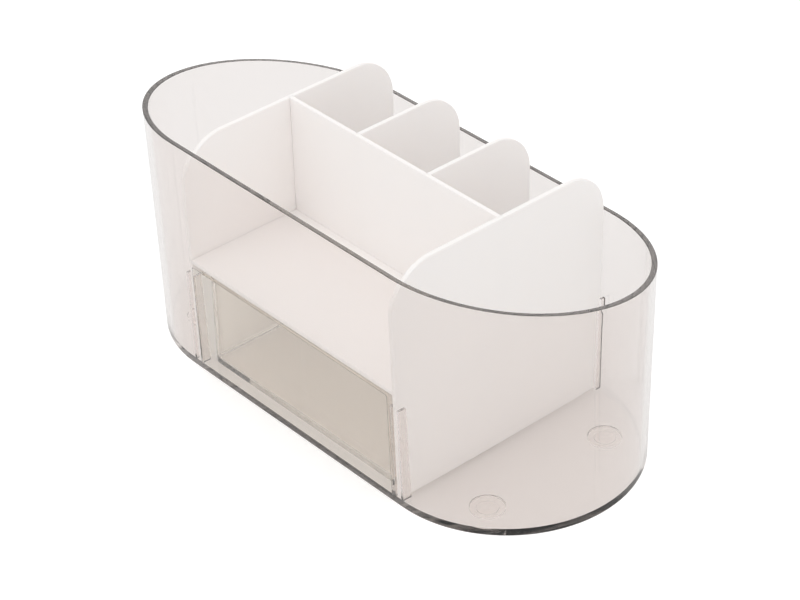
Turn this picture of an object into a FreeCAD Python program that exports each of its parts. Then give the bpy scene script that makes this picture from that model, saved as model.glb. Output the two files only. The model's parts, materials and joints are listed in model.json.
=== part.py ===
"""Brush holder with drawer: a clear stadium-shaped tub with a slanted rim, a white
insert of plain sheets that drops into it, a clear drawer under the insert's deck,
and four round feet.

Frame: millimetres, +X along the tub, -Y towards the drawer's front, +Z up.
The origin is on the table, under the middle of the tub.
"""
import FreeCAD, Part
import math
import os
import Sketcher

QUARTER = math.pi / 2   # a quarter turn

SIZES = {
    # clear tub
    "end_centre": 68.2,          # from the middle to the centre of each round end
    "base_radius": 58.0,         # outer radius of the ends at the underside
    "draft_angle": 1.09,         # the walls lean outwards, degrees
    "wall": 2.4,
    "floor_thickness": 2.7,
    "rim_height": 101.2,         # rim above the underside, at the middle of the depth
    "rim_slant": 10.8,           # the rim falls towards the back, degrees
    "rim_round": 0.3,
    "base_round": 0.7,
    # guide ribs on the tub's front and back walls
    "rib_height": 45.3,          # above the tub's floor
    "front_rib_depth": 4.0,      # out of the wall, at the floor
    "rear_rib_depth": 2.8,
    "rib_lean": 0.6,             # how much less deep a rib is at its top
    "rib_thickness": 1.2,
    "inner_rib_clearance": 0.3,  # between a rib and the side panel it holds
    "outer_rib_clearance": 0.9,
    # white insert
    "panel_half_span": 66.0,     # middle to a side panel's outer face
    "panel_thickness": 2.1,
    "sheet_thickness": 2.0,      # middle wall, deck and dividers
    "panel_height": 109.0,       # above the tub's floor
    "panel_corner": 20.0,
    "insert_clearance": 0.4,     # between the insert's edges and the tub's wall
    "mid_wall_front": 0.5,       # how far its front face lies before the middle
    "deck_clear_height": 51.0,   # from the tub's floor to the deck's underside
    "groove_depth": 0.6,         # the sheets' ends sit in shallow grooves
    "groove_clearance": 0.05,    # beside a sheet in its groove
    "groove_end_gap": 0.1,       # behind a sheet's end in its groove
    "edge_round": 0.4,           # eased upper edges of the insert
    # drawer
    "drawer_front": 51.0,        # from the middle to the tray's front
    "drawer_wall": 1.8,
    "drawer_floor": 1.5,
    "drawer_corner": 5.0,        # upright corners of the tray
    "drawer_inner_round": 1.6,   # inside, along the floor
    "drawer_outer_round": 0.4,   # underneath
    "drawer_side_clearance": 0.5,
    "drawer_back_gap": 0.5,      # before the middle wall
    "drawer_floor_gap": 0.15,    # under the drawer
    "fold_thickness": 1.2,       # the rim's fold, which carries the front
    "front_gap": 0.4,            # between the drawer's front and the opening's sides and top
    "front_round": 0.3,          # eased edges of the drawer's front
    "opening_top_gap": 0.1,      # the opening ends this far below the deck
    "opening_corner": 1.0,
    # feet
    "foot_diameter": 14.5,
    "foot_thickness": 1.5,
    "foot_seat_depth": 1.1,
    "foot_seat_gap": 0.1,        # over the foot
    "foot_seat_clearance": 0.2,  # round the foot
    "foot_hollow_diameter": 9.0,
    "foot_hollow_depth": 0.6,
    "foot_round": 0.2,
    "foot_inset": 16.84,         # from the tub's outline to the foot's centre
    "foot_angle": 54.0,          # from the tub's long axis, about the end's centre, degrees
}

doc = FreeCAD.newDocument("brush_holder")
dims = doc.addObject("Spreadsheet::Sheet", "dims")
for row, (name, value) in enumerate(SIZES.items(), start=1):
    dims.set(f"A{row}", name)
    dims.set(f"B{row}", str(value))
    dims.setAlias(f"B{row}", name)
doc.recompute()


def size(text):
    """The expression text with each size's name pointed at the sheet."""
    for name in sorted(SIZES, key=len, reverse=True):
        text = text.replace(f"[{name}]", f"dims.{name}")
    return text


def value(text):
    """What an expression is worth now, for a sketch's first draft."""
    result = dims.evalExpression(size(text))
    return float(getattr(result, "Value", result))


# Heights above the table
UNDERSIDE = "([foot_thickness] + [foot_seat_gap] - [foot_seat_depth])"
FLOOR = f"({UNDERSIDE} + [floor_thickness])"
RIM = f"({UNDERSIDE} + [rim_height])"
PANEL_TOP = f"({FLOOR} + [panel_height])"
DECK_UNDERSIDE = f"({FLOOR} + [deck_clear_height])"
DECK_TOP = f"({DECK_UNDERSIDE} + [sheet_thickness])"
BLANK_TOP = f"({RIM} + 1.3 * tan([rim_slant]) * [base_radius])"

# Widths and depths from the middle
PANEL_OUTER = "[panel_half_span]"
PANEL_INNER = "([panel_half_span] - [panel_thickness])"
RIB_INNER = f"({PANEL_INNER} - [inner_rib_clearance] - [rib_thickness])"
RIB_OUTER = f"({PANEL_OUTER} + [outer_rib_clearance])"
TONGUE = "([groove_depth] - [groove_end_gap])"
SHEET_END = f"({PANEL_INNER} + {TONGUE})"
MID_FRONT = "(-1 * [mid_wall_front])"
MID_BACK = "([sheet_thickness] - [mid_wall_front])"
SLOT_WIDTH = f"((2 * {PANEL_INNER} - 2 * [sheet_thickness]) / 3)"
DRAWER_HALF = f"({RIB_INNER} - [drawer_side_clearance])"


def wall_inside(height):
    """Depth from the middle to the tub's inner face at a height above the table."""
    return f"([base_radius] - [wall] + tan([draft_angle]) * ({height} - {UNDERSIDE}))"


def insert_edge(height):
    """Depth from the middle to the insert's edge at a height above the table."""
    return f"({wall_inside(height)} - [insert_clearance])"


def wall_outside(height):
    """Depth from the middle to the tub's outer face at a height above the table."""
    return f"([base_radius] + tan([draft_angle]) * ({height} - {UNDERSIDE}))"


DRAWER_UNDERSIDE = f"({FLOOR} + [drawer_floor_gap])"
DRAWER_BACK = "([mid_wall_front] + [drawer_back_gap])"
OPENING_TOP = f"({DECK_UNDERSIDE} - [opening_top_gap])"
FRONT_HALF = f"({RIB_INNER} - [front_gap])"
FRONT_TOP = f"({OPENING_TOP} - [front_gap])"


def new_body(label):
    body = doc.addObject("PartDesign::Body", label)
    body.Label = label
    return body


def new_sketch(body, name, role, offset="0 * [wall]"):
    """A sketch on one of the body's origin planes, moved along the plane's normal."""
    plane = next(item for item in body.Origin.OriginFeatures if item.Role == role)
    sketch = body.newObject("Sketcher::SketchObject", f"{body.Label}_{name}")
    sketch.AttachmentSupport = [(plane, "")]
    sketch.MapMode = "FlatFace"
    sketch.setExpression("AttachmentOffset.Base.z", size(f"({offset}) * 1mm"))
    return sketch


def bind(sketch, constraint, text):
    """Add a dimension that follows an expression."""
    index = sketch.addConstraint(constraint)
    name = f"size_{index}"
    sketch.renameConstraint(index, name)
    sketch.setExpression(f"Constraints.{name}", size(f"({text}) * 1mm"))


def bind_point(sketch, geometry, end, x_text, y_text):
    """Hold a point of the sketch at signed distances from the sketch's origin."""
    for kind, text in (("DistanceX", x_text), ("DistanceY", y_text)):
        bind(sketch, Sketcher.Constraint(kind, -1, 1, geometry, end, value(text)), text)


def polygon(sketch, corners):
    """A closed outline of straight sides through corners given as expressions."""
    points = [FreeCAD.Vector(value(x), value(y), 0) for x, y in corners]
    first = sketch.GeometryCount
    count = len(points)
    for i in range(count):
        sketch.addGeometry(Part.LineSegment(points[i], points[(i + 1) % count]), False)
    for i in range(count):
        sketch.addConstraint(Sketcher.Constraint("Coincident", first + i, 2, first + (i + 1) % count, 1))
    for i, (x, y) in enumerate(corners):
        bind_point(sketch, first + i, 1, x, y)


def rectangle(sketch, left, right, low, high):
    polygon(sketch, [(left, low), (right, low), (right, high), (left, high)])


def rounded_rectangle(sketch, left, right, low, high, radius):
    """A rectangle whose corners are quarter circles."""
    x0, x1, y0, y1, r = (value(text) for text in (left, right, low, high, radius))
    normal = FreeCAD.Vector(0, 0, 1)
    centres = [(x1 - r, y0 + r), (x1 - r, y1 - r), (x0 + r, y1 - r), (x0 + r, y0 + r)]
    sides = [((x0 + r, y0), (x1 - r, y0)), ((x1, y0 + r), (x1, y1 - r)),
             ((x1 - r, y1), (x0 + r, y1)), ((x0, y1 - r), (x0, y0 + r))]
    for i in range(4):
        start, end = (FreeCAD.Vector(*point, 0) for point in sides[i])
        sketch.addGeometry(Part.LineSegment(start, end), False)
        corner = Part.Circle(FreeCAD.Vector(*centres[i], 0), normal, r)
        sketch.addGeometry(Part.ArcOfCircle(corner, (i - 1) * QUARTER, i * QUARTER), False)
    for i in range(8):
        sketch.addConstraint(Sketcher.Constraint("Tangent", i, 2, (i + 1) % 8, 1))
    for i in (0, 4):
        sketch.addConstraint(Sketcher.Constraint("Horizontal", i))
    for i in (2, 6):
        sketch.addConstraint(Sketcher.Constraint("Vertical", i))
    for arc in (3, 5, 7):
        sketch.addConstraint(Sketcher.Constraint("Equal", 1, arc))
    bind(sketch, Sketcher.Constraint("Radius", 1, r), radius)
    bind(sketch, Sketcher.Constraint("DistanceX", -1, 1, 2, 1, x1), right)
    bind(sketch, Sketcher.Constraint("DistanceX", -1, 1, 6, 1, x0), left)
    bind(sketch, Sketcher.Constraint("DistanceY", -1, 1, 0, 1, y0), low)
    bind(sketch, Sketcher.Constraint("DistanceY", -1, 1, 4, 1, y1), high)


def circle(sketch, x, y, diameter):
    centre = FreeCAD.Vector(value(x), value(y), 0)
    index = sketch.addGeometry(Part.Circle(centre, FreeCAD.Vector(0, 0, 1), value(diameter) / 2), False)
    bind_point(sketch, index, 3, x, y)
    bind(sketch, Sketcher.Constraint("Diameter", index, value(diameter)), diameter)


def stadium(sketch, centre, radius):
    """Two half circles about (+centre, 0) and (-centre, 0), joined by straight sides."""
    middle, half = value(centre), value(radius)
    normal = FreeCAD.Vector(0, 0, 1)
    right = Part.Circle(FreeCAD.Vector(middle, 0, 0), normal, half)
    left = Part.Circle(FreeCAD.Vector(-middle, 0, 0), normal, half)
    sketch.addGeometry(Part.ArcOfCircle(right, -QUARTER, QUARTER), False)
    corners = [FreeCAD.Vector(x, y, 0)
               for x, y in ((middle, half), (-middle, half), (-middle, -half), (middle, -half))]
    sketch.addGeometry(Part.LineSegment(corners[0], corners[1]), False)
    sketch.addGeometry(Part.ArcOfCircle(left, QUARTER, 3 * QUARTER), False)
    sketch.addGeometry(Part.LineSegment(corners[2], corners[3]), False)
    for i in range(4):
        sketch.addConstraint(Sketcher.Constraint("Tangent", i, 2, (i + 1) % 4, 1))
    for arc in (0, 2):
        sketch.addConstraint(Sketcher.Constraint("PointOnObject", arc, 3, -1))
    bind(sketch, Sketcher.Constraint("DistanceX", -1, 1, 0, 3, middle), centre)
    bind(sketch, Sketcher.Constraint("DistanceX", 2, 3, -1, 1, middle), centre)
    bind(sketch, Sketcher.Constraint("Radius", 0, half), radius)


def pad(body, sketch, length, taper=None):
    feature = body.newObject("PartDesign::Pad", f"{sketch.Name}_pad")
    feature.Profile = sketch
    feature.setExpression("Length", size(f"({length}) * 1mm"))
    if taper:
        feature.setExpression("TaperAngle", size(f"({taper}) * 1deg"))
    sketch.Visibility = False
    doc.recompute()
    return feature


def pocket(body, sketch, length, reverse=False, taper=None, both_ways=False):
    """Cut a sketch's shape into the body, and make sure that it cuts something."""
    before = body.Shape.Volume
    feature = body.newObject("PartDesign::Pocket", f"{sketch.Name}_pocket")
    feature.Profile = sketch
    feature.setExpression("Length", size(f"({length}) * 1mm"))
    feature.Reversed = reverse
    if both_ways:
        feature.Midplane = True
    if taper:
        feature.setExpression("TaperAngle", size(f"({taper}) * 1deg"))
    doc.recompute()
    if body.Shape.Volume > before - 1e-3:
        raise RuntimeError(f"{feature.Name} cuts nothing")
    return feature


def fillet(body, radius, wanted):
    """Round every edge of the body for which wanted(edge) is true."""
    base = body.Tip
    names = [f"Edge{i}" for i, edge in enumerate(base.Shape.Edges, start=1) if wanted(edge)]
    if not names:
        raise RuntimeError(f"no edge to round on {body.Label}")
    feature = body.newObject("PartDesign::Fillet", f"{body.Label}_round")
    feature.Base = (base, names)
    feature.setExpression("Radius", size(f"({radius}) * 1mm"))
    doc.recompute()
    return feature


def close(first, second):
    return abs(first - second) < 1e-4


def upright(edge):
    ends = points_of(edge)
    return close(ends[0].x, ends[2].x) and close(ends[0].y, ends[2].y)


def level_at(edge, height):
    return all(close(p.z, height) for p in points_of(edge))


def on_side_face(edge):
    """True for an edge that lies in a plane across the tub's long axis."""
    ends = points_of(edge)
    return close(ends[0].x, ends[1].x) and close(ends[1].x, ends[2].x)


def points_of(edge):
    """The edge's two ends and its middle."""
    low, high = edge.FirstParameter, edge.LastParameter
    return [edge.valueAt(low), edge.valueAt((low + high) / 2), edge.valueAt(high)]


def make_outer_shell():
    body = new_body("outer_shell")

    outline = new_sketch(body, "outline", "XY_Plane", UNDERSIDE)
    stadium(outline, "[end_centre]", "[base_radius]")
    pad(body, outline, f"{BLANK_TOP} - {UNDERSIDE}", taper="[draft_angle]")
    underside = value(UNDERSIDE)
    fillet(body, "[base_round]", lambda edge: level_at(edge, underside))

    cavity = new_sketch(body, "cavity", "XY_Plane", FLOOR)
    stadium(cavity, "[end_centre]", wall_inside(FLOOR))
    pocket(body, cavity, f"{BLANK_TOP} - {FLOOR}", reverse=True, taper="[draft_angle]")

    # Everything above the slanted plane of the rim is cut away.
    reach = "(1.2 * [base_radius])"
    fall = f"(tan([rim_slant]) * {reach})"
    rim = new_sketch(body, "rim", "YZ_Plane")
    polygon(rim, [(f"-1 * {reach}", f"{RIM} + {fall}"),
                  (reach, f"{RIM} - {fall}"),
                  (reach, f"2 * {BLANK_TOP}"),
                  (f"-1 * {reach}", f"2 * {BLANK_TOP}")])
    pocket(body, rim, "4 * ([end_centre] + [base_radius])", both_ways=True)

    slope, middle = value("tan([rim_slant])"), value(RIM)
    fillet(body, "[rim_round]", lambda edge: all(close(p.z, middle - slope * p.y) for p in points_of(edge)))

    # A pair of ribs holds each side panel's front edge, and another its back edge.
    top = f"({FLOOR} + [rib_height])"
    root_low, root_high = (f"({wall_inside(height)} + [wall] / 2)" for height in (FLOOR, top))
    starts = {"inner_right": RIB_INNER, "outer_right": RIB_OUTER,
              "inner_left": f"-1 * ({RIB_INNER} + [rib_thickness])",
              "outer_left": f"-1 * ({RIB_OUTER} + [rib_thickness])"}
    for name, start in starts.items():
        ribs = new_sketch(body, f"{name}_ribs", "YZ_Plane", start)
        for side, depth in (("-1", "[front_rib_depth]"), ("1", "[rear_rib_depth]")):
            tip_low = f"({wall_inside(FLOOR)} - {depth})"
            tip_high = f"({wall_inside(top)} - {depth} + [rib_lean])"
            polygon(ribs, [(f"{side} * {tip_low}", FLOOR), (f"{side} * {root_low}", FLOOR),
                           (f"{side} * {root_high}", top), (f"{side} * {tip_high}", top)])
        pad(body, ribs, "[rib_thickness]")

    # The drawer's opening in the front wall, between the inner ribs.
    opening = new_sketch(body, "opening", "XZ_Plane")
    rectangle(opening, f"-1 * {RIB_INNER}", RIB_INNER, FLOOR, OPENING_TOP)
    pocket(body, opening, "2 * [base_radius]", reverse=True)
    top, side = value(OPENING_TOP), value(RIB_INNER)
    fillet(body, "[opening_corner]",
           lambda edge: all(close(p.z, top) and close(abs(p.x), side) for p in points_of(edge)))

    seats = new_sketch(body, "foot_seats", "XY_Plane", UNDERSIDE)
    for x, y in foot_centres():
        circle(seats, x, y, "[foot_diameter] + 2 * [foot_seat_clearance]")
    pocket(body, seats, "[foot_seat_depth]", reverse=True)
    return body


def make_side_panel(label, inner_face, start, groove_reverse):
    """A panel across the tub, standing on the floor between the guide ribs."""
    body = new_body(label)
    outline = new_sketch(body, "outline", "YZ_Plane", start)
    polygon(outline, [(f"-1 * {insert_edge(FLOOR)}", FLOOR),
                      (insert_edge(FLOOR), FLOOR),
                      (insert_edge(PANEL_TOP), PANEL_TOP),
                      (f"-1 * {insert_edge(PANEL_TOP)}", PANEL_TOP)])
    pad(body, outline, "[panel_thickness]")
    top, reach = value(PANEL_TOP), value(insert_edge(PANEL_TOP))
    fillet(body, "[panel_corner]",
           lambda edge: all(close(p.z, top) and close(abs(p.y), reach) for p in points_of(edge)))
    foot = value(FLOOR)
    fillet(body, "[edge_round]", lambda edge: on_side_face(edge) and not level_at(edge, foot))

    wall_groove = new_sketch(body, "wall_groove", "YZ_Plane", inner_face)
    rectangle(wall_groove, f"{MID_FRONT} - [groove_clearance]", f"{MID_BACK} + [groove_clearance]",
              f"{FLOOR} - 1", f"{PANEL_TOP} + 1")
    pocket(body, wall_groove, "[groove_depth]", reverse=groove_reverse)

    deck_groove = new_sketch(body, "deck_groove", "YZ_Plane", inner_face)
    rectangle(deck_groove, "-1 * [base_radius]", MID_FRONT,
              f"{DECK_UNDERSIDE} - [groove_clearance]", f"{DECK_TOP} + [groove_clearance]")
    pocket(body, deck_groove, "[groove_depth]", reverse=groove_reverse)
    return body


def make_mid_wall():
    """The upright sheet along the tub, between the two side panels."""
    body = new_body("mid_wall")
    outline = new_sketch(body, "outline", "XZ_Plane", f"-1 * {MID_BACK}")
    rectangle(outline, f"-1 * {SHEET_END}", SHEET_END, FLOOR, PANEL_TOP)
    pad(body, outline, "[sheet_thickness]")
    top = value(PANEL_TOP)
    fillet(body, "[edge_round]", lambda edge: level_at(edge, top) and not on_side_face(edge))

    deck_groove = new_sketch(body, "deck_groove", "XZ_Plane", "[mid_wall_front]")
    rectangle(deck_groove, f"-1 * {SHEET_END} - 1", f"{SHEET_END} + 1",
              f"{DECK_UNDERSIDE} - [groove_clearance]", f"{DECK_TOP} + [groove_clearance]")
    pocket(body, deck_groove, "[groove_depth]")

    divider_grooves = new_sketch(body, "divider_grooves", "XZ_Plane", f"-1 * {MID_BACK}")
    near = f"({SLOT_WIDTH} / 2 - [groove_clearance])"
    far = f"({SLOT_WIDTH} / 2 + [sheet_thickness] + [groove_clearance])"
    rectangle(divider_grooves, near, far, f"{FLOOR} - 1", f"{PANEL_TOP} + 1")
    rectangle(divider_grooves, f"-1 * {far}", f"-1 * {near}", f"{FLOOR} - 1", f"{PANEL_TOP} + 1")
    pocket(body, divider_grooves, "[groove_depth]", reverse=True)
    return body


def make_rear_divider(label, start):
    """A short panel behind the middle wall, which parts two brush slots."""
    body = new_body(label)
    front = f"({MID_BACK} - {TONGUE})"
    outline = new_sketch(body, "outline", "YZ_Plane", start)
    polygon(outline, [(front, FLOOR),
                      (insert_edge(FLOOR), FLOOR),
                      (insert_edge(PANEL_TOP), PANEL_TOP),
                      (front, PANEL_TOP)])
    pad(body, outline, "[sheet_thickness]")
    top, reach = value(PANEL_TOP), value(insert_edge(PANEL_TOP))
    fillet(body, "[panel_corner]",
           lambda edge: all(close(p.z, top) and close(p.y, reach) for p in points_of(edge)))
    foot, joint = value(FLOOR), value(front)
    fillet(body, "[edge_round]", lambda edge: on_side_face(edge) and not level_at(edge, foot)
           and not all(close(p.y, joint) for p in points_of(edge)))
    return body


def make_deck():
    """The level sheet over the drawer."""
    body = new_body("deck")
    outline = new_sketch(body, "outline", "XY_Plane", DECK_UNDERSIDE)
    rectangle(outline, f"-1 * {SHEET_END}", SHEET_END,
              f"-1 * {insert_edge(DECK_UNDERSIDE)}", f"{MID_FRONT} + {TONGUE}")
    pad(body, outline, "[sheet_thickness]")
    front = -value(insert_edge(DECK_UNDERSIDE))
    fillet(body, "[edge_round]",
           lambda edge: all(close(p.y, front) for p in points_of(edge)) and not upright(edge))
    return body


def make_drawer():
    """An open tray, whose front rim folds forward and down to fill the opening flush."""
    body = new_body("drawer")
    outline = new_sketch(body, "outline", "XY_Plane", DRAWER_UNDERSIDE)
    rounded_rectangle(outline, f"-1 * {DRAWER_HALF}", DRAWER_HALF, "-1 * [drawer_front]",
                      f"-1 * {DRAWER_BACK}", "[drawer_corner]")
    pad(body, outline, f"{FRONT_TOP} - {DRAWER_UNDERSIDE}")
    low = value(DRAWER_UNDERSIDE)
    fillet(body, "[drawer_outer_round]", lambda edge: level_at(edge, low))

    tray_floor = f"({DRAWER_UNDERSIDE} + [drawer_floor])"
    half = f"({DRAWER_HALF} - [drawer_wall])"
    inside = new_sketch(body, "inside", "XY_Plane", tray_floor)
    rounded_rectangle(inside, f"-1 * {half}", half, "-1 * ([drawer_front] - [drawer_wall])",
                      f"-1 * ({DRAWER_BACK} + [drawer_wall])", "[drawer_corner] - [drawer_wall]")
    pocket(body, inside, FRONT_TOP, reverse=True)
    low = value(tray_floor)
    fillet(body, "[drawer_inner_round]", lambda edge: level_at(edge, low))

    fold = new_sketch(body, "fold", "XY_Plane", f"{FRONT_TOP} - [fold_thickness]")
    rectangle(fold, f"-1 * ({DRAWER_HALF} - [drawer_corner])", f"{DRAWER_HALF} - [drawer_corner]",
              f"-1 * ({wall_inside(FRONT_TOP)} + [wall] / 2)", "-1 * ([drawer_front] - [drawer_wall] / 2)")
    pad(body, fold, "[fold_thickness]")

    front = new_sketch(body, "front", "YZ_Plane", f"-1 * {FRONT_HALF}")
    polygon(front, [(f"-1 * {wall_outside(DRAWER_UNDERSIDE)}", DRAWER_UNDERSIDE),
                    (f"-1 * {wall_inside(DRAWER_UNDERSIDE)}", DRAWER_UNDERSIDE),
                    (f"-1 * {wall_inside(FRONT_TOP)}", FRONT_TOP),
                    (f"-1 * {wall_outside(FRONT_TOP)}", FRONT_TOP)])
    pad(body, front, f"2 * {FRONT_HALF}")
    high, side = value(FRONT_TOP), value(FRONT_HALF)
    fillet(body, "[opening_corner] - [front_gap]",
           lambda edge: all(close(p.z, high) and close(abs(p.x), side) for p in points_of(edge)))
    lean, foot = value("tan([draft_angle])"), value(wall_outside("0 * [wall]"))
    fillet(body, "[front_round]", lambda edge: all(close(-p.y, foot + lean * p.z) for p in points_of(edge)))
    return body


def foot_centres():
    """The four feet, from the front left one round to the back left one."""
    reach = "([base_radius] - [foot_inset])"
    x = f"([end_centre] + {reach} * cos([foot_angle]))"
    y = f"({reach} * sin([foot_angle]))"
    return [(f"-1 * {x}", f"-1 * {y}"), (x, f"-1 * {y}"), (x, y), (f"-1 * {x}", y)]


def make_foot(label, x, y):
    """A soft round pad in its seat, hollow in the middle of its underside."""
    body = new_body(label)
    outline = new_sketch(body, "outline", "XY_Plane")
    circle(outline, x, y, "[foot_diameter]")
    pad(body, outline, "[foot_thickness]")
    hollow = new_sketch(body, "hollow", "XY_Plane")
    circle(hollow, x, y, "[foot_hollow_diameter]")
    pocket(body, hollow, "[foot_hollow_depth]", reverse=True)
    fillet(body, "[foot_round]", lambda edge: level_at(edge, 0))
    return body


parts = [make_outer_shell()]
parts.append(make_side_panel("left_side_panel", f"-1 * {PANEL_INNER}", f"-1 * {PANEL_OUTER}", False))
parts.append(make_side_panel("right_side_panel", PANEL_INNER, PANEL_INNER, True))
parts.append(make_mid_wall())
parts.append(make_rear_divider("left_rear_divider", f"-1 * ({SLOT_WIDTH} / 2 + [sheet_thickness])"))
parts.append(make_rear_divider("right_rear_divider", f"{SLOT_WIDTH} / 2"))
parts.append(make_deck())
parts.append(make_drawer())
foot_names = ["foot_front_left", "foot_front_right", "foot_rear_right", "foot_rear_left"]
for foot_name, (foot_x, foot_y) in zip(foot_names, foot_centres()):
    parts.append(make_foot(foot_name, foot_x, foot_y))

doc.recompute()
failed = [item.Name for item in doc.Objects if {"Invalid", "Error"} & set(item.State)]
failed += [part.Label for part in parts if part.Shape.isNull() or not part.Shape.isValid()]
if failed:
    raise RuntimeError("not built: " + ", ".join(failed))

os.makedirs("parts", exist_ok=True)
for part in parts:
    part.Shape.exportStep(os.path.join("parts", part.Label + ".step"))
    box = part.Shape.BoundBox
    print(f"{part.Label}: {len(part.Shape.Solids)} solid, {part.Shape.Volume:.1f} mm3, "
          f"x {box.XMin:.2f}..{box.XMax:.2f} "
          f"y {box.YMin:.2f}..{box.YMax:.2f} "
          f"z {box.ZMin:.2f}..{box.ZMax:.2f}")
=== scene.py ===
"""Looks of the brush holder: clear tub and drawer, satin white insert, clear feet."""
import json

import bmesh
import bpy
from mathutils import Matrix, Vector


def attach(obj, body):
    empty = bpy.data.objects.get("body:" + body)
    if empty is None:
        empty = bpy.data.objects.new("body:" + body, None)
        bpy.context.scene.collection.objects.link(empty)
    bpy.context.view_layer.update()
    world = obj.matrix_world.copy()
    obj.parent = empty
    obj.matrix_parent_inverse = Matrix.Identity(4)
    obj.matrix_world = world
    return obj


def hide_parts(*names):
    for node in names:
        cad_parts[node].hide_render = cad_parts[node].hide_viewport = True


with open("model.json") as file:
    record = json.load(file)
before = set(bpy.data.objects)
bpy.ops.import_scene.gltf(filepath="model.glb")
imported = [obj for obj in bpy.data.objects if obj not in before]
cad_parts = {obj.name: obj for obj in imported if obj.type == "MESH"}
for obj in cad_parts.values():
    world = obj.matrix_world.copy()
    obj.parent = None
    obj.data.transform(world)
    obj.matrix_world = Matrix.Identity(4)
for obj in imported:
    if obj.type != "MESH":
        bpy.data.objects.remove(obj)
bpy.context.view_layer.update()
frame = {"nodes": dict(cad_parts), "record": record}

# ---- camera ---------------------------------------------------------------

CAMERA_PLACE = Vector((0.714978, -0.604565, 0.688524))
CAMERA_RIGHT = Vector((0.66122908, 0.74969094, -0.02719567))
CAMERA_UP = Vector((-0.41235068, 0.3935006, 0.82165942))
CAMERA_LENS = 121.465
SENSOR_WIDTH = 36.0
CLIP_START, CLIP_END = 0.01, 50.0


def make_camera():
    data = bpy.data.cameras.new("camera")
    data.lens = CAMERA_LENS
    data.sensor_width = SENSOR_WIDTH
    data.sensor_fit = "HORIZONTAL"
    data.clip_start, data.clip_end = CLIP_START, CLIP_END
    camera = bpy.data.objects.new("camera", data)
    bpy.context.scene.collection.objects.link(camera)
    right, up = CAMERA_RIGHT.normalized(), CAMERA_UP.normalized()
    back = right.cross(up)
    turn = Matrix((right, up, back)).transposed().to_4x4()
    camera.matrix_world = Matrix.Translation(CAMERA_PLACE) @ turn
    bpy.context.scene.camera = camera


# ---- node helpers ---------------------------------------------------------

NOISE_LOW, NOISE_HIGH = 0.3, 0.7


def new_material(name):
    material = bpy.data.materials.new(name)
    material.use_nodes = True
    material.node_tree.nodes.clear()
    return material, material.node_tree


def add(tree, kind, **settings):
    node = tree.nodes.new(kind)
    for key, value in settings.items():
        setattr(node, key, value)
    return node


def larger(tree, first, second):
    """The larger of two values."""
    node = add(tree, "ShaderNodeMath", operation="MAXIMUM")
    tree.links.new(first, node.inputs[0])
    tree.links.new(second, node.inputs[1])
    return node.outputs["Value"]


def times(tree, source, factor):
    node = add(tree, "ShaderNodeMath", operation="MULTIPLY")
    node.inputs[1].default_value = factor
    tree.links.new(source, node.inputs[0])
    return node.outputs["Value"]


def noise(tree, scale, detail):
    """Noise from 0 to 1, at a scale per metre of the object's own frame."""
    place = add(tree, "ShaderNodeTexCoord")
    texture = add(tree, "ShaderNodeTexNoise")
    texture.inputs["Scale"].default_value = scale
    texture.inputs["Detail"].default_value = detail
    tree.links.new(place.outputs["Object"], texture.inputs["Vector"])
    return texture.outputs["Fac"]


def spread(tree, source, low, high):
    """Map the usual range of a noise to low..high."""
    ramp = add(tree, "ShaderNodeMapRange")
    ramp.inputs["From Min"].default_value = NOISE_LOW
    ramp.inputs["From Max"].default_value = NOISE_HIGH
    ramp.inputs["To Min"].default_value = low
    ramp.inputs["To Max"].default_value = high
    tree.links.new(source, ramp.inputs["Value"])
    return ramp.outputs["Result"]


def bump(tree, height, strength, distance):
    node = add(tree, "ShaderNodeBump")
    node.inputs["Strength"].default_value = strength
    node.inputs["Distance"].default_value = distance
    tree.links.new(height, node.inputs["Height"])
    return node.outputs["Normal"]


# ---- clear plastic --------------------------------------------------------

# The name of the value on each face that marks it as a seam.
SEAM = "seam"

PLASTIC_IOR = 1.5
HAZE_SCALE, HAZE_DETAIL = 90.0, 3.0
HAZE_ROUGHNESS = (0.0, 0.02)
WAVE_SCALE, WAVE_DETAIL = 28.0, 0.0
WAVE_STRENGTH, WAVE_DISTANCE = 0.006, 0.001
DEPTH_COLOUR = (0.47, 0.45, 0.44, 1.0)

# The tint is the plastic's colour, passes is what light keeps at each surface, and
# the density is that of the warm grey in its depth, per metre. For the drawer, tint and density
# are partly painted light.
TUB_TINT = (0.942, 0.909, 0.893)
TUB_PASSES = (0.996, 0.99, 0.985)
TUB_DENSITY = 22.0
# Painted light: the drawer's plastic is a clearer copy of the tub's. This makes the bay in shade
# under the deck, seen through the drawer's front, look brighter.
DRAWER_TINT_PAINTED_LIGHT = (1.0, 0.98, 0.957)
DRAWER_PASSES = (1.0, 0.998, 0.99)
DRAWER_DENSITY_PAINTED_LIGHT = 3.0
FOOT_TINT = (0.97, 0.965, 0.96)
FOOT_DENSITY = 15.0


def through_for_light(tree, surface, passes):
    """Light passes the surface straight, so clear pieces throw only a faint shadow.

    Faces marked as seam let every ray pass. They share the clear material, because
    a ray leaves a volume only through the material by which it came in.
    """
    through = add(tree, "ShaderNodeBsdfTransparent")
    through.inputs["Color"].default_value = (*passes, 1.0)
    path = add(tree, "ShaderNodeLightPath")
    light = larger(tree, path.outputs["Is Shadow Ray"], path.outputs["Is Diffuse Ray"])
    seam = add(tree, "ShaderNodeAttribute", attribute_name=SEAM)
    mix = add(tree, "ShaderNodeMixShader")
    tree.links.new(larger(tree, light, seam.outputs["Fac"]), mix.inputs["Fac"])
    tree.links.new(surface, mix.inputs[1])
    tree.links.new(through.outputs["BSDF"], mix.inputs[2])
    return mix.outputs["Shader"]


def depth_tint(tree, out, density):
    depth = add(tree, "ShaderNodeVolumeAbsorption")
    depth.inputs["Color"].default_value = DEPTH_COLOUR
    depth.inputs["Density"].default_value = density
    tree.links.new(depth.outputs["Volume"], out.inputs["Volume"])


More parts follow.
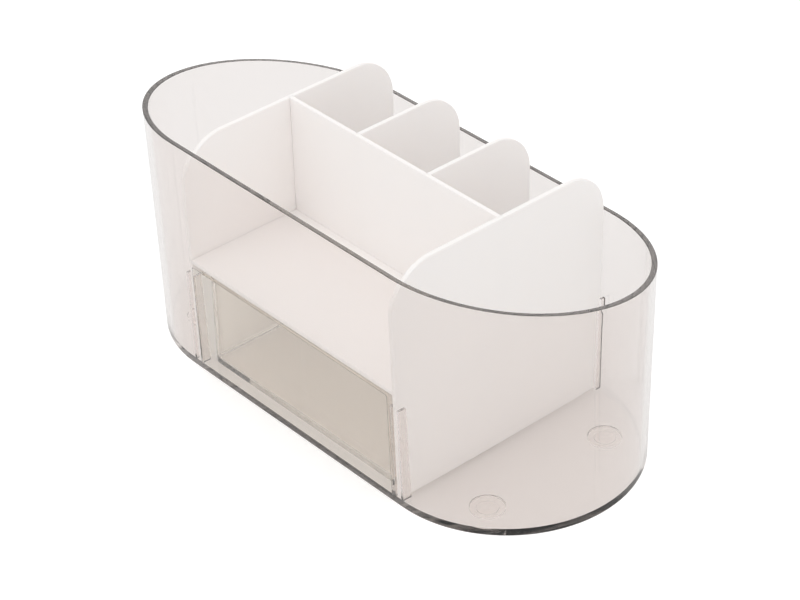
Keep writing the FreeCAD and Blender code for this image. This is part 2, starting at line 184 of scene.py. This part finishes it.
def clear_plastic(name, tint, passes, density):
    """Moulded clear plastic: faint waves, slight haze, warm grey in its depth."""
    material, tree = new_material(name)
    plastic = add(tree, "ShaderNodeBsdfPrincipled")
    plastic.inputs["Base Color"].default_value = (*tint, 1.0)
    plastic.inputs["IOR"].default_value = PLASTIC_IOR
    plastic.inputs["Transmission Weight"].default_value = 1.0
    haze = spread(tree, noise(tree, HAZE_SCALE, HAZE_DETAIL), *HAZE_ROUGHNESS)
    tree.links.new(haze, plastic.inputs["Roughness"])
    waves = noise(tree, WAVE_SCALE, WAVE_DETAIL)
    tree.links.new(bump(tree, waves, WAVE_STRENGTH, WAVE_DISTANCE), plastic.inputs["Normal"])
    out = add(tree, "ShaderNodeOutputMaterial")
    surface = through_for_light(tree, plastic.outputs["BSDF"], passes)
    tree.links.new(surface, out.inputs["Surface"])
    depth_tint(tree, out, density)
    return material


# ---- white plastic --------------------------------------------------------

WHITE_LOW = (0.975, 0.938, 0.918, 1.0)
WHITE_HIGH = (0.985, 0.948, 0.928, 1.0)
SHADE_SCALE, SHADE_DETAIL = 12.0, 4.0
WHITE_SPECULAR = 0.35
SUBSURFACE_WEIGHT = 0.2
SUBSURFACE_RADIUS = (1.0, 0.95, 0.9)
SUBSURFACE_SCALE = 0.0015
GRAIN_SCALE, GRAIN_DETAIL = 2200.0, 2.0
GRAIN_ROUGHNESS = (0.38, 0.5)
GRAIN_STRENGTH, GRAIN_DISTANCE = 0.08, 0.0001


def white_plastic(name):
    """Satin white moulding with a fine grain."""
    material, tree = new_material(name)
    plastic = add(tree, "ShaderNodeBsdfPrincipled")
    colour = add(tree, "ShaderNodeMix", data_type="RGBA")
    colour.inputs["A"].default_value = WHITE_LOW
    colour.inputs["B"].default_value = WHITE_HIGH
    tree.links.new(noise(tree, SHADE_SCALE, SHADE_DETAIL), colour.inputs["Factor"])
    tree.links.new(colour.outputs["Result"], plastic.inputs["Base Color"])
    plastic.inputs["Specular IOR Level"].default_value = WHITE_SPECULAR
    plastic.inputs["Subsurface Weight"].default_value = SUBSURFACE_WEIGHT
    plastic.inputs["Subsurface Radius"].default_value = SUBSURFACE_RADIUS
    plastic.inputs["Subsurface Scale"].default_value = SUBSURFACE_SCALE
    grain = noise(tree, GRAIN_SCALE, GRAIN_DETAIL)
    tree.links.new(spread(tree, grain, *GRAIN_ROUGHNESS), plastic.inputs["Roughness"])
    tree.links.new(bump(tree, grain, GRAIN_STRENGTH, GRAIN_DISTANCE), plastic.inputs["Normal"])
    out = add(tree, "ShaderNodeOutputMaterial")
    tree.links.new(plastic.outputs["BSDF"], out.inputs["Surface"])
    return material


# ---- studio ---------------------------------------------------------------

FLOOR_HALF = 3.0
FLOOR_ALBEDO = 0.9
FLOOR_GLOW = 0.3
FLOOR_GLOW_IN_GLASS = 0.07
WORLD_COLOUR = (1.0, 1.0, 1.0, 1.0)
WORLD_STRENGTH = 0.93
LAMP_PLACE = (-0.2, -0.35, 1.6)
LAMP_TARGET = (0, 0, 0.05)
LAMP_SIZE = 0.9
LAMP_POWER = 2.4


def glow_strength(tree, direct, through):
    """direct where the camera sees it, through in glass or a reflection, else 0."""
    path = add(tree, "ShaderNodeLightPath")
    glass = larger(tree, path.outputs["Is Glossy Ray"], path.outputs["Is Transmission Ray"])
    dimmed = times(tree, glass, through)
    bright = times(tree, path.outputs["Is Camera Ray"], direct)
    return larger(tree, bright, dimmed)


def make_floor():
    """A wide white floor. Part of what is seen of it is its own glow, so shadows stay faint."""
    material, tree = new_material("floor")
    diffuse = add(tree, "ShaderNodeBsdfDiffuse")
    diffuse.inputs["Color"].default_value = (FLOOR_ALBEDO,) * 3 + (1.0,)
    glow = add(tree, "ShaderNodeEmission")
    strength = glow_strength(tree, FLOOR_GLOW, FLOOR_GLOW_IN_GLASS)
    tree.links.new(strength, glow.inputs["Strength"])
    both = add(tree, "ShaderNodeAddShader")
    tree.links.new(diffuse.outputs["BSDF"], both.inputs[0])
    tree.links.new(glow.outputs["Emission"], both.inputs[1])
    out = add(tree, "ShaderNodeOutputMaterial")
    tree.links.new(both.outputs["Shader"], out.inputs["Surface"])
    mesh = bpy.data.meshes.new("floor")
    half = FLOOR_HALF
    corners = [(-half, -half, 0), (half, -half, 0), (half, half, 0), (-half, half, 0)]
    mesh.from_pydata(corners, [], [(0, 1, 2, 3)])
    floor = bpy.data.objects.new("floor", mesh)
    mesh.materials.append(material)
    bpy.context.scene.collection.objects.link(floor)


def make_world():
    world = bpy.data.worlds.new("studio")
    world.use_nodes = True
    tree = world.node_tree
    tree.nodes.clear()
    background = add(tree, "ShaderNodeBackground")
    background.inputs["Color"].default_value = WORLD_COLOUR
    background.inputs["Strength"].default_value = WORLD_STRENGTH
    out = add(tree, "ShaderNodeOutputWorld")
    tree.links.new(background.outputs["Background"], out.inputs["Surface"])
    bpy.context.scene.world = world


def make_lamp():
    data = bpy.data.lights.new("overhead", "AREA")
    data.shape = "SQUARE"
    data.size = LAMP_SIZE
    data.energy = LAMP_POWER
    lamp = bpy.data.objects.new("overhead", data)
    lamp.location = LAMP_PLACE
    lamp.rotation_mode = "QUATERNION"
    aim = Vector(LAMP_TARGET) - Vector(LAMP_PLACE)
    lamp.rotation_quaternion = aim.to_track_quat("-Z", "Y")
    bpy.context.scene.collection.objects.link(lamp)


# ---- clear pieces whose cut edges hardly show ------------------------------

# Sizes of the tub's opening and of the drawer's front, as in the solids.
OPENING_HALF = 0.0624
OPENING_TOP = 0.0541
FRONT_HALF = 0.062
FRONT_FOOT = 0.00335
FRONT_TOP = 0.0537
FRONT_BACK = 0.0535
FOLD_UNDERSIDE = 0.0525
FLOOR_TOP = 0.0032
UNDERSIDE = 0.0005
WALL_INSIDE = 0.0556
WALL_OUTSIDE = 0.058
WALL_LEAN = 0.019027
EASE = 0.0003

# How much the visual front is grown at its sides and top.
FRONT_GROWTH = 0.00025

# A normal's share along an axis from which a face is square to it, mostly along it, or
# turned somewhat along it.
SQUARE = 0.99
MOSTLY = 0.7
SOMEWHAT = 0.3

# How far from its place a face, rim or corner still counts as there.
NEAR = 0.0005
NEAR_OPENING_TOP = 0.0012
NEAR_WALL = 0.003
RIM_BAND = 0.0007
FOOT_BAND = 0.0004
EASE_REACH = 1.05
SILL_SETBACK = 0.0001

SILL_CUTS = (
    ((0, -WALL_INSIDE - SILL_SETBACK, 0), (0, 1, 0)),
    ((OPENING_HALF, 0, 0), (1, 0, 0)),
    ((-OPENING_HALF, 0, 0), (1, 0, 0)),
)


def on_floor(face):
    return face.normal.z > SQUARE and abs(face.calc_center_median().z - FLOOR_TOP) < NEAR


def opening_edge(face):
    """The cut faces round the drawer's opening, and the sill under the drawer's front."""
    x, y, z = face.calc_center_median()
    if y > -WALL_INSIDE or abs(x) > OPENING_HALF + NEAR:
        return False
    sideways = abs(face.normal.x) > MOSTLY and abs(abs(x) - OPENING_HALF) < NEAR
    across = face.normal.z < -SOMEWHAT and abs(z - OPENING_TOP) < NEAR_OPENING_TOP
    return sideways or across or on_floor(face)


def front_edge(face):
    """The faces round the rim of the drawer's front, and the fold from above and below."""
    x, y, z = face.calc_center_median()
    if y > -WALL_INSIDE + NEAR_WALL or abs(face.normal.y) > SQUARE:
        return False
    beside = abs(x) > FRONT_HALF - RIM_BAND
    above = z > FRONT_TOP - RIM_BAND
    below = z < FRONT_FOOT + FOOT_BAND
    under_fold = face.normal.z < -SQUARE and abs(z - FOLD_UNDERSIDE) < NEAR
    return beside or above or below or under_fold


def share(distance, reach):
    return min(max(distance / reach, 0.0), 1.0)


def close_front(work):
    """The drawer's front with sharp edges, grown a hair towards the opening's sides and top."""
    for corner in work.verts:
        x, y, z = corner.co
        if y > -FRONT_BACK:
            continue
        outside = -(WALL_OUTSIDE + WALL_LEAN * (z - UNDERSIDE))
        if y < outside + EASE * EASE_REACH:
            y = outside
        sideways = FRONT_GROWTH * share(abs(x) - FRONT_HALF + EASE, EASE)
        upwards = FRONT_GROWTH * share(z - FRONT_TOP + EASE, EASE)
        corner.co = (x + (sideways if x > 0 else -sideways), y, z + upwards)
    work.normal_update()


def cut_sill(work):
    """Split the tub's floor along planes, so that its sill can be marked as seam."""
    for place, across in SILL_CUTS:
        flat = [face for face in work.faces if on_floor(face)]
        edges = list({edge for face in flat for edge in face.edges})
        corners = list({corner for face in flat for corner in face.verts})
        bmesh.ops.bisect_plane(work, geom=flat + edges + corners, plane_co=place, plane_no=across)


def set_flat_normals(mesh, is_flat):
    """Plane faces that were cut or reshaped get their own normals. All others keep theirs."""
    normals = [item.vector.copy() for item in mesh.corner_normals]
    for face in mesh.polygons:
        if is_flat(face):
            for corner in face.loop_indices:
                normals[corner] = face.normal.copy()
    mesh.normals_split_custom_set(normals)


def in_front(face):
    return face.center.y < -FRONT_BACK


def in_floor(face):
    return face.normal.z > SQUARE and face.center.z < FLOOR_TOP + NEAR


def with_seams(node_name, piece_name, body, clear, is_edge, refine, is_flat):
    """A node's own shape again, refined, with its cut edges marked as seam."""
    mesh = frame["nodes"][node_name].data.copy()
    mesh.name = piece_name
    mesh.materials.clear()
    mesh.materials.append(clear)
    work = bmesh.new()
    work.from_mesh(mesh)
    refine(work)
    seam = work.faces.layers.float.new(SEAM)
    for face in work.faces:
        face[seam] = float(is_edge(face))
    work.to_mesh(mesh)
    work.free()
    set_flat_normals(mesh, is_flat)
    piece = bpy.data.objects.new(piece_name, mesh)
    bpy.context.scene.collection.objects.link(piece)
    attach(piece, body)
    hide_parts(node_name)


# ---- the whole ------------------------------------------------------------

# Light crosses many clear surfaces, and the rims go black with fewer bounces.
BOUNCES = 64
TRANSPARENT_BOUNCES = 32


def set_render():
    scene = bpy.context.scene
    scene.view_settings.view_transform = "Standard"
    scene.cycles.max_bounces = BOUNCES
    scene.cycles.glossy_bounces = BOUNCES
    scene.cycles.transmission_bounces = BOUNCES
    scene.cycles.transparent_max_bounces = TRANSPARENT_BOUNCES


def make_looks():
    """One material for each material slot in the record, and for the drawer a clearer copy of the
    clear plastic, as painted light for its shaded bay.
    """
    return {
        "clear_plastic": clear_plastic("clear_plastic", TUB_TINT, TUB_PASSES, TUB_DENSITY),
        # The drawer's clearer copy of the clear plastic is painted light for the shaded bay
        # behind its front.
        "clear_drawer_painted_light": clear_plastic("clear_drawer_painted_light", DRAWER_TINT_PAINTED_LIGHT, DRAWER_PASSES, DRAWER_DENSITY_PAINTED_LIGHT),
        "white_plastic": white_plastic("white_plastic"),
        "foot_pad": clear_plastic("foot_pad", FOOT_TINT, TUB_PASSES, FOOT_DENSITY),
    }


def main():
    set_render()
    make_camera()
    make_world()
    make_floor()
    make_lamp()
    looks = make_looks()
    for part in frame["record"]["subparts"]:
        node = frame["nodes"][part["node"]]
        node.data.materials.clear()
        node.data.materials.append(looks[part["material_slot"]])
    with_seams("outer_shell", "tub_with_opening", "tub", looks["clear_plastic"],
               opening_edge, cut_sill, in_floor)
    with_seams("drawer", "drawer_tray", "drawer", looks["clear_drawer_painted_light"],
               front_edge, close_front, in_front)


main()
